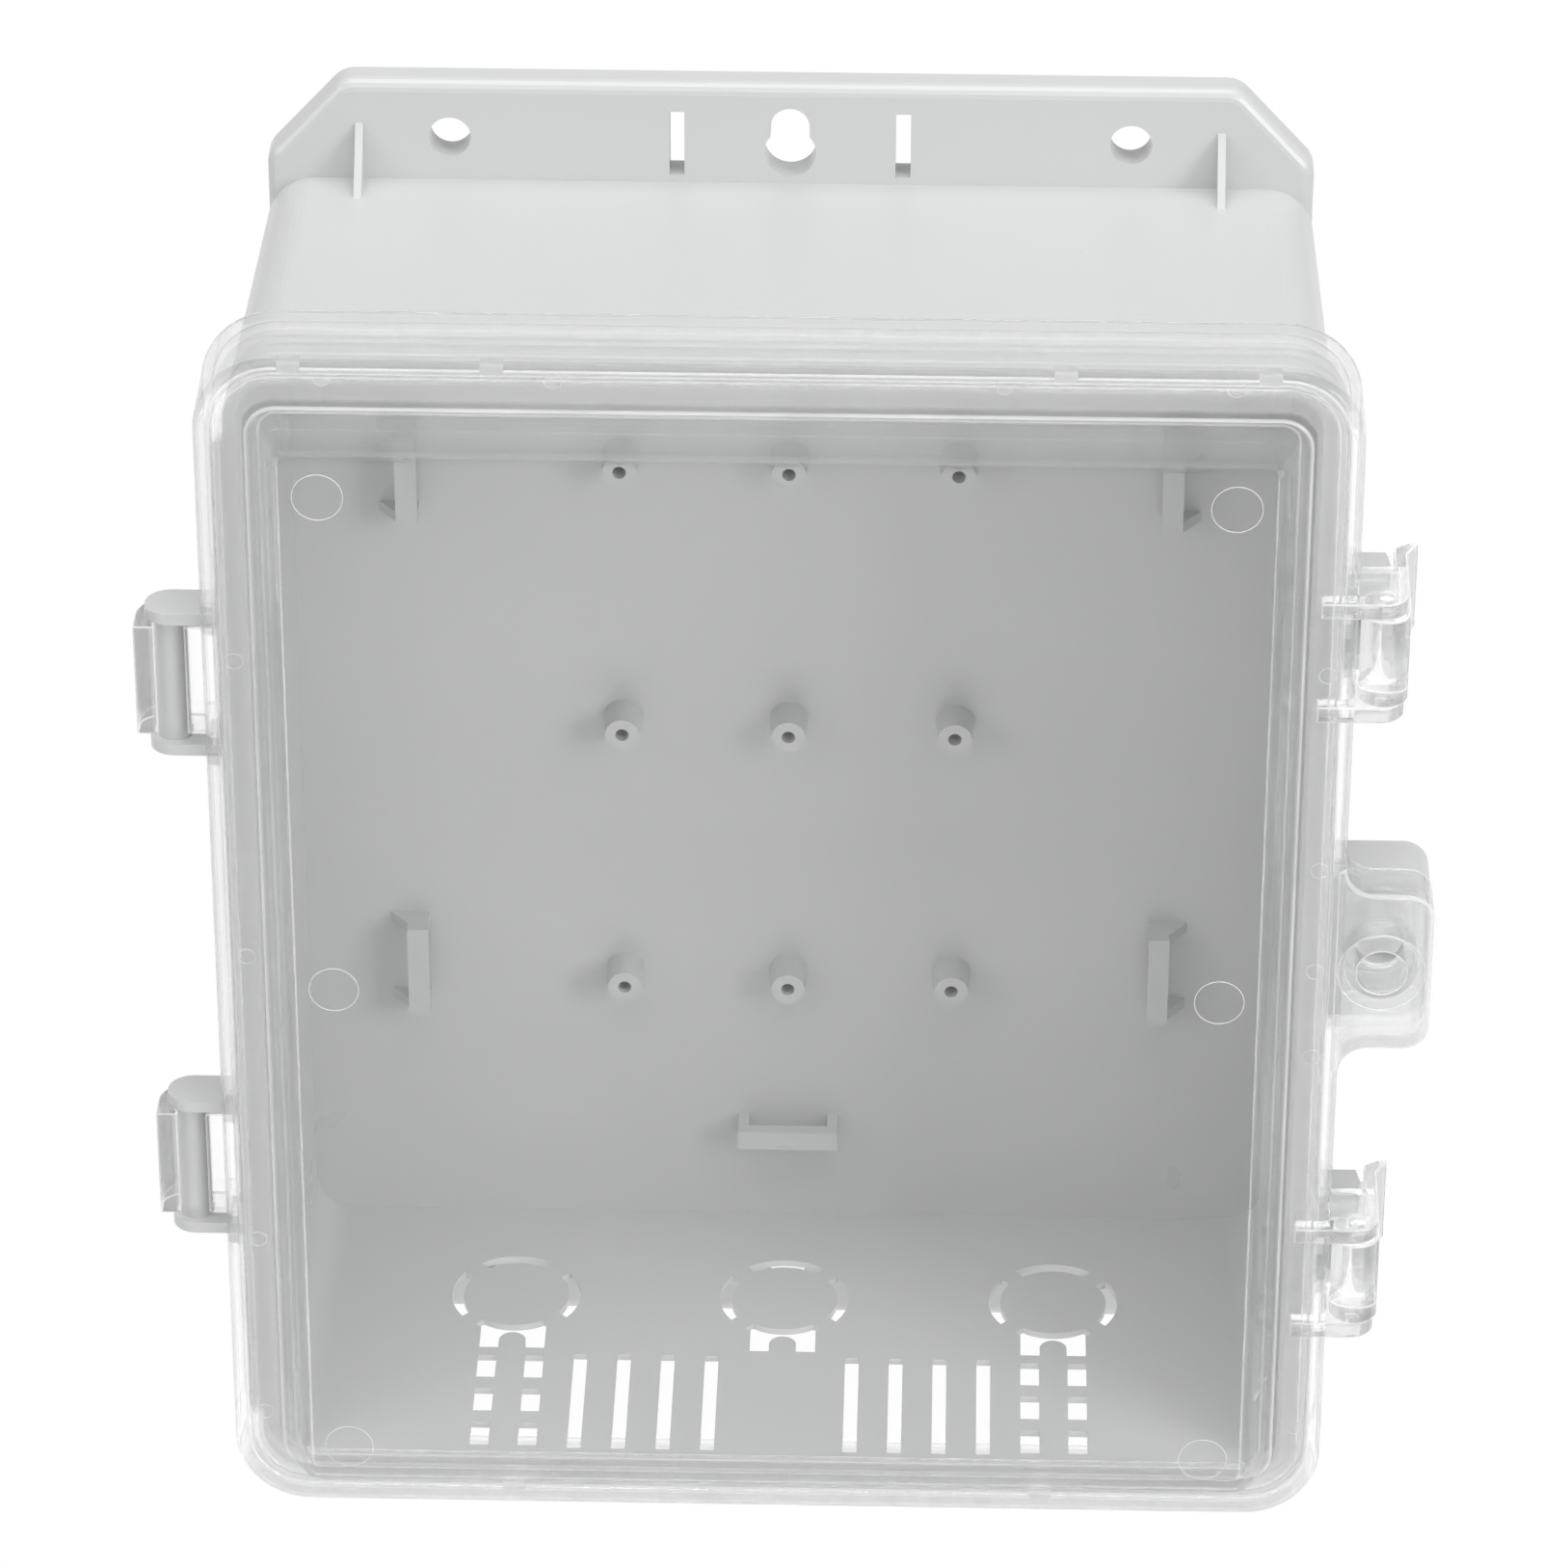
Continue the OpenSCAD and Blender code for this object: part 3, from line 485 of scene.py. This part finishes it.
def cut_skirt(door):
    """Leaves room in the skirt for the hinge ears, the catches and the padlock tab."""
    for sz in (-1, 1):
        for side in (-1, 1):
            ear = centred(sz * HINGE_Z + side * EAR_Z, EAR_SLOT)
            combine(door, block("slot", LEFT_SKIRT, (CUT_BACK, EAR_FRONT), ear), "DIFFERENCE")
        latch = centred(sz * LATCH_Z, LATCH_NOTCH)
        notch = block("notch", RIGHT_SKIRT, (CUT_BACK, LATCH_NOTCH_FRONT), latch)
        combine(door, notch, "DIFFERENCE")
    notch = block("notch", RIGHT_SKIRT, (CUT_BACK, TAB_BACK), centred(0, TAB_NOTCH))
    combine(door, notch, "DIFFERENCE")


def add_nubs(door):
    for x, sz in NUB_PAIRS:
        heights = sorted((sz * NUB_LOW, sz * NUB_HIGH))
        for sx in (-1, 1):
            nub = block("nub", centred(sx * x, NUB_HALF), (NUB_BACK, NUB_FRONT), heights)
            combine(door, nub, "UNION")


def hook_outline():
    """Hook around a hinge pin, open to the front, in x and depth."""
    wall = -DOOR_W + MERGE
    points = [(PIN_X - HOOK_OUTER, HOOK_FRONT)]
    points += arc(PIN_X, PIN_DEPTH, HOOK_OUTER, 180, 270, 16)
    points += [(wall, PIN_DEPTH - HOOK_OUTER), (wall, HOOK_FRONT)]
    points += [(PIN_X + HOOK_MOUTH, HOOK_FRONT), (PIN_X + HOOK_MOUTH, HOOK_LIP)]
    points += [(PIN_X + HOOK_INNER, HOOK_LIP)]
    points += arc(PIN_X, PIN_DEPTH, HOOK_INNER, 0, -180, 24)
    points += [(PIN_X - HOOK_INNER, HOOK_LIP), (PIN_X - HOOK_MOUTH, HOOK_LIP)]
    return points + [(PIN_X - HOOK_MOUTH, HOOK_FRONT)]


def add_hooks(door):
    for centre in (-HINGE_Z, HINGE_Z):
        high = centre + EAR_GAP / 2 - HOOK_PLAY
        hook = prism("hook", hook_outline(), high - HOOK_LENGTH, high, bevel=ARM_RIM, kind=THICK)
        combine(door, hook, "UNION")


def arm_outline():
    """Arm that carries a lever's pivot, in x and depth."""
    start, wall, foot = DOOR_W - ARM_START, DOOR_W - MERGE, RIM_FRONT - MERGE
    end, back = PIVOT_X - ARM_SETBACK, RIM_FRONT - ARM_DROP
    points = [(start, foot), (start, RIM_FRONT + ARM_RISE)]
    points += arc(end, RIM_FRONT + ARM_RISE - KNUCKLE_R, KNUCKLE_R, 90, 0, 10)
    return points + [(end + KNUCKLE_R, back), (wall, back), (wall, foot)]


def add_arms(door):
    for centre in (-LATCH_Z, LATCH_Z):
        for low in (centre + ARM_GAP, centre - ARM_GAP - ARM_THICK):
            arm = prism("arm", arm_outline(), low, low + ARM_THICK, bevel=ARM_RIM, kind=THICK)
            combine(door, arm, "UNION")


def tab_outline():
    """Padlock tab with concave fillets beside the door, in x and z."""
    fillet_z = TAB_HALF + TAB_FILLET
    upper = [(DOOR_W - 2.0, fillet_z)]
    upper += arc(DOOR_W + TAB_FILLET, fillet_z, TAB_FILLET, 180, 270, 10)
    upper += arc(TAB_REACH - TAB_CORNER, TAB_HALF - TAB_CORNER, TAB_CORNER, 90, 0, 10)
    return mirrored(upper)


def tab_hollow():
    """The tab's open back, one wall inside its outline. It starts where it meets the door."""
    fillet, corner = TAB_FILLET + TAB_WALL, TAB_CORNER - TAB_WALL
    upper = arc(DOOR_W + TAB_FILLET, TAB_HALF + TAB_FILLET, fillet, 221, 270, 8)
    upper += arc(TAB_REACH - TAB_CORNER, TAB_HALF - TAB_CORNER, corner, 90, 0, 8)
    return mirrored(upper)


def lock_disc(name, radius, steps, back, front):
    """Disc around the axis of the padlock hole."""
    return prism(name, circle(LOCK_X, 0, radius, steps), back, front, along="depth")


def add_tab(door):
    tab = prism("tab", tab_outline(), TAB_BACK, RIM_FRONT, along="depth", bevel=TAB_RIM)
    combine(tab, prism("hollow", tab_hollow(), 88.0, RIM_BACK, along="depth"), "DIFFERENCE")
    combine(tab, lock_disc("boss", BOSS_R, 40, TAB_BACK, RIM_FRONT - 0.5), "UNION")
    combine(door, tab, "UNION")
    recess = lock_disc("ring", RECESS_R, 48, RIM_FRONT - RECESS_DEPTH, 103)
    combine(door, recess, "DIFFERENCE")
    combine(door, lock_disc("bore", LOCK_R, 40, 80, 110), "DIFFERENCE")


def cut_sockets(door):
    """Holes in the arms for the levers' pins."""
    outline = circle(PIVOT_X, PIVOT_DEPTH, SOCKET_R, 20)
    for centre in (-LATCH_Z, LATCH_Z):
        for low in (centre + SOCKET_GAP, centre - SOCKET_GAP - SOCKET_LENGTH):
            combine(door, prism("socket", outline, low, low + SOCKET_LENGTH), "DIFFERENCE")


def paint_window(obj):
    """Puts the pane material on the two flats of the window."""
    for face in obj.data.polygons:
        middle = face.center
        flat = abs(face.normal.y) > 0.99 and -middle.y > PANE_DEPTH * MM
        if flat and abs(middle.x) < PANE_W * MM and abs(middle.z) < PANE_H * MM:
            face.material_index = PANE


door = door_shell()
cut_skirt(door)
add_nubs(door)
add_hooks(door)
add_arms(door)
add_tab(door)
cut_sockets(door)
soften(door)
paint_window(door)
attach(door, "door")
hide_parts(*[name for name in nodes if name.startswith("door_") and name != "door_gasket"])


# ---------------------------------------------------------------- marks of mould pins and rims, drawn as painted highlight rings

# one row along the top of the rim, and one down each side
RIM_MARKS = [(x, 134.3) for x in (-89.5, -44.3, 44.3, 89.5)]
RIM_MARKS += [(-108.8, z) for z in (69.9, 0.1, -69.9, -114.2)]
RIM_MARKS += [(109.8, z) for z in (70.0, 24.3, 0.1, -20.6, -114.2)]

# radius of each mark and of the wire that draws it
WINDOW_MARK_X, WINDOW_MARK_Z = 90.0, 114.2
WINDOW_MARK, WINDOW_WIRE = 5.05, 0.11
RIM_MARK, RIM_WIRE = 1.75, 0.09
LOCK_WIRE = 0.14

# radius and depth of the round rims on the padlock tab, each drawn as a painted highlight ring
LOCK_RIMS = [
    (RECESS_R, RIM_FRONT),
    (LOCK_R, RIM_FRONT),
    (BOSS_R, RIM_BACK),
    (LOCK_R, TAB_BACK),
    (BOSS_R, TAB_BACK),
]


def highlight_ring(name, x, z, depth, radius, wire):
    """Painted highlight: a fine pale circle, a wire's radius thick, that lies in a flat facing
    forward.
    """
    turns, around = 40, 6
    verts, faces = [], []
    for i, (cos_a, sin_a) in enumerate(circle(0, 0, 1, turns)):
        n = (i + 1) % turns
        for j, (cos_b, sin_b) in enumerate(circle(0, 0, 1, around)):
            k = (j + 1) % around
            r = radius + wire * cos_b
            level = depth + wire * (sin_b - 0.9)
            verts.append(((x + r * cos_a) * MM, -level * MM, (z + r * sin_a) * MM))
            faces.append((i * around + j, n * around + j, n * around + k, i * around + k))
    obj = mesh_object(name, verts, faces, [EDGE_HIGHLIGHT] * len(faces))
    obj.data.polygons.foreach_set("use_smooth", [True] * len(faces))
    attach(obj, "door")


# the mould pin marks are real, and their pale rings are painted highlight; the padlock rings are
# painted highlight on the tab's rims
for row, z in enumerate((WINDOW_MARK_Z, 0.0, -WINDOW_MARK_Z)):
    for side, x in (("left", -WINDOW_MARK_X), ("right", WINDOW_MARK_X)):
        highlight_ring(f"window_mark_highlight_{side}_{row}", x, z, PANEL_FRONT, WINDOW_MARK, WINDOW_WIRE)
for number, (x, z) in enumerate(RIM_MARKS):
    highlight_ring(f"rim_mark_highlight_{number}", x, z, RIM_FRONT, RIM_MARK, RIM_WIRE)
for number, (radius, depth) in enumerate(LOCK_RIMS):
    highlight_ring(f"padlock_rim_highlight_{number}", LOCK_X, 0.0, depth, radius, LOCK_WIRE)


# ---------------------------------------------------------------- latch levers

def lever_outline():
    """Knuckle, plate and lifted finger edge of a latch lever, in x and depth."""
    outer = PIVOT_X + KNUCKLE_R
    inner = outer - PLATE_THICK
    points = arc(PIVOT_X, PIVOT_DEPTH, KNUCKLE_R, 0, 270, 24)
    points += [(inner, PIVOT_DEPTH - 4.3), (inner, 76.2), (inner + 0.3, 74.4)]
    return points + [(outer + 1.4, LEVER_END), (outer + 2.7, LEVER_END + 0.3), (outer + 0.2, 77.0)]


def nose_outline():
    """Nose that hooks behind the catch, in x and depth."""
    root, tip = PIVOT_X + 2.9, PIVOT_X - 0.1
    return [(tip, LEVER_END), (root, LEVER_END), (root, 76.8), (tip, 75.3)]


def latch_lever(name, centre):
    span = centred(centre, LEVER_HALF)
    lever = prism(name + "_moulding", lever_outline(), *span, bevel=LEVER_RIM, kind=THICK)
    nose = prism("nose", nose_outline(), *centred(centre, NOSE_HALF), bevel=NOSE_RIM, kind=THICK)
    combine(lever, nose, "UNION")
    pin = circle(PIVOT_X, PIVOT_DEPTH, PINS_R, 24)
    combine(lever, prism("pins", pin, *centred(centre, PINS_HALF), kind=THICK), "UNION")
    soften(lever)
    return lever


LEVERS = (
    ("upper_latch_lever", "latch_upper", LATCH_Z),
    ("lower_latch_lever", "latch_lower", -LATCH_Z),
)
for name, body, centre in LEVERS:
    lever = latch_lever(name, centre)
    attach(lever, body)
    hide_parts(name)


# ---------------------------------------------------------------- brim of the box

BRIM_BACK, BRIM_FRONT = 93.9, 95.6
# distance of the left side from the middle at the corners, and along the hinges
BRIM_SIDE, SHOULDER_SIDE = 109.8, 112.5
# x and z of the middle of a corner on each side, and its radius
RIGHT_X, RIGHT_Z, RIGHT_R = 99.5, 121.6, 13.2
LEFT_X, LEFT_Z, LEFT_R = 96.8, 121.8, 13.0


def brim_outline():
    """Outer outline of the brim, with a straight shoulder along the hinges, in x and z."""
    points = arc(RIGHT_X, RIGHT_Z, RIGHT_R, 0, 90, CORNER_STEPS)
    points += arc(-LEFT_X, LEFT_Z, LEFT_R, 90, 180, CORNER_STEPS)
    points += [(-BRIM_SIDE, 118), (-SHOULDER_SIDE, 117)]
    points += [(-SHOULDER_SIDE, -117), (-BRIM_SIDE, -118)]
    points += arc(-LEFT_X, -LEFT_Z, LEFT_R, 180, 270, CORNER_STEPS)
    return points + arc(RIGHT_X, -RIGHT_Z, RIGHT_R, 270, 360, CORNER_STEPS)


brim = prism("base_brim", brim_outline(), BRIM_BACK, BRIM_FRONT, along="depth")
inside = rounded_rectangle(108.4, 131.2, 10.2, 12)
combine(brim, prism("inside", inside, 93.0, 97.0, along="depth"), "DIFFERENCE")
dress(brim, grey)
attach(brim, "base")


# ---------------------------------------------------------------- floor, world, lamps

FLOOR_Z = -1.2
WHITE = (1, 1, 1, 1)
# strength of the world on matt surfaces, and in mirrors and clear plastic: towards the viewer,
# behind the object and overhead
MATT_LIGHT, ROOM, BACKDROP, SKY = 0.5, 0.5, 1.0, 0.9
AIM = Vector((0, -0.05, 0))

# place, width and height in metres, and power in watts
SOFTBOXES = {
    "softbox_left": ((-1.5, -1.2, 0.7), (0.7, 1.0), 5),
    "softbox_right": ((1.5, -1.2, 0.7), (0.7, 1.0), 13),
    "softbox_top": ((0.0, -0.35, 1.7), (1.6, 1.6), 18),
    "softbox_low": ((0.0, -0.75, -1.05), (1.2, 0.4), 3),
}


def joined(nt, operation, first, second):
    """Result of a math node on a socket and a second socket or number."""
    node = add(nt, "ShaderNodeMath", operation=operation)
    nt.links.new(first, node.inputs[0])
    if isinstance(second, float):
        node.inputs[1].default_value = second
    else:
        nt.links.new(second, node.inputs[1])
    return node.outputs[0]


def seen_directly(nt, path, glossy):
    """1 for rays from the eye, also through glass or off gloss, but not after a matt bounce."""
    rays = path.outputs
    seen = joined(nt, "MAXIMUM", rays["Is Camera Ray"], rays["Is Transmission Ray"])
    if glossy:
        seen = joined(nt, "MAXIMUM", seen, rays["Is Glossy Ray"])
    fresh = joined(nt, "LESS_THAN", rays["Diffuse Depth"], 0.5)
    return joined(nt, "MULTIPLY", seen, fresh)


def white_to_eye(name):
    """Matt to the light that falls on the object, and plain white to the eye."""
    mat, nt = new_material(name)
    diffuse = add(nt, "ShaderNodeBsdfDiffuse")
    diffuse.inputs["Color"].default_value = (0.85, 0.85, 0.85, 1)
    glow = add(nt, "ShaderNodeEmission")
    glow.inputs["Color"].default_value = WHITE
    glow.inputs["Strength"].default_value = 1.0
    direct = seen_directly(nt, add(nt, "ShaderNodeLightPath"), glossy=True)
    to_output(nt, mixed(nt, direct, diffuse.outputs["BSDF"], glow.outputs["Emission"]))
    return mat


def background(nt, strength):
    """White light from all sides; its strength is a number or a socket."""
    light = add(nt, "ShaderNodeBackground")
    light.inputs["Color"].default_value = WHITE
    if isinstance(strength, float):
        light.inputs["Strength"].default_value = strength
    else:
        nt.links.new(strength, light.inputs["Strength"])
    return light.outputs["Background"]


def smooth_step(nt, socket, start, end, low, high):
    step = add(nt, "ShaderNodeMapRange", interpolation_type="SMOOTHSTEP")
    step.inputs["From Min"].default_value = start
    step.inputs["From Max"].default_value = end
    step.inputs["To Min"].default_value = low
    step.inputs["To Max"].default_value = high
    nt.links.new(socket, step.inputs["Value"])
    return step.outputs["Result"]


def studio_world():
    """White backdrop for the eye, and a soft studio around it for mirrors and clear plastic."""
    world = bpy.data.worlds.new("studio")
    world.use_nodes = True
    nt = world.node_tree
    nt.nodes.clear()
    direction = add(nt, "ShaderNodeTexCoord")
    axes = add(nt, "ShaderNodeSeparateXYZ")
    nt.links.new(direction.outputs["Generated"], axes.inputs["Vector"])
    behind = smooth_step(nt, axes.outputs["Y"], -0.25, 0.35, ROOM, BACKDROP)
    overhead = smooth_step(nt, axes.outputs["Z"], 0.45, 0.9, 0.0, SKY)
    studio = background(nt, joined(nt, "MAXIMUM", behind, overhead))
    path = add(nt, "ShaderNodeLightPath")
    direct = seen_directly(nt, path, glossy=False)
    around = mixed(nt, direct, background(nt, MATT_LIGHT), studio)
    all_rays = mixed(nt, path.outputs["Is Camera Ray"], around, background(nt, BACKDROP))
    out = add(nt, "ShaderNodeOutputWorld")
    nt.links.new(all_rays, out.inputs["Surface"])
    return world


def softbox(name, place, size, power):
    lamp = bpy.data.lights.new(name, "AREA")
    lamp.shape = "RECTANGLE"
    lamp.size, lamp.size_y = size
    lamp.energy = power
    obj = bpy.data.objects.new(name, lamp)
    scene.collection.objects.link(obj)
    obj.location = place
    obj.rotation_euler = (AIM - Vector(place)).to_track_quat("-Z", "Y").to_euler()


bpy.ops.mesh.primitive_plane_add(size=12, location=(0, 2, FLOOR_Z))
floor = bpy.context.object
floor.name = "floor"
floor.data.materials.append(white_to_eye("floor_white"))
scene.world = studio_world()
for name, (place, size, power) in SOFTBOXES.items():
    softbox(name, place, size, power)


# ---------------------------------------------------------------- camera

# place in metres, and turns in radians: to the left, down and around the view
CAMERA_PLACE = Vector((0.03258, -1.4114, 0.82946))
CAMERA_YAW, CAMERA_PITCH, CAMERA_ROLL = 0.0239, 0.5405, 0.0019
CAMERA_SENSOR, CAMERA_LENS = 36, 174.00811


def add_camera():
    ahead = Vector((-math.sin(CAMERA_YAW), math.cos(CAMERA_YAW), 0))
    right = Vector((math.cos(CAMERA_YAW), math.sin(CAMERA_YAW), 0))
    look = ahead * math.cos(CAMERA_PITCH) + Vector((0, 0, -1)) * math.sin(CAMERA_PITCH)
    up = right.cross(look)
    side = right * math.cos(CAMERA_ROLL) + up * math.sin(CAMERA_ROLL)
    top = up * math.cos(CAMERA_ROLL) - right * math.sin(CAMERA_ROLL)
    data = bpy.data.cameras.new("camera")
    data.sensor_width = CAMERA_SENSOR
    data.lens = CAMERA_LENS
    data.clip_start = 0.05
    data.clip_end = 50
    camera = bpy.data.objects.new("camera", data)
    scene.collection.objects.link(camera)
    columns = [(*axis, 0) for axis in (side, top, -look)] + [(*CAMERA_PLACE, 1)]
    camera.matrix_world = Matrix(columns).transposed()
    scene.camera = camera


add_camera()
scene.view_settings.view_transform = "Standard"
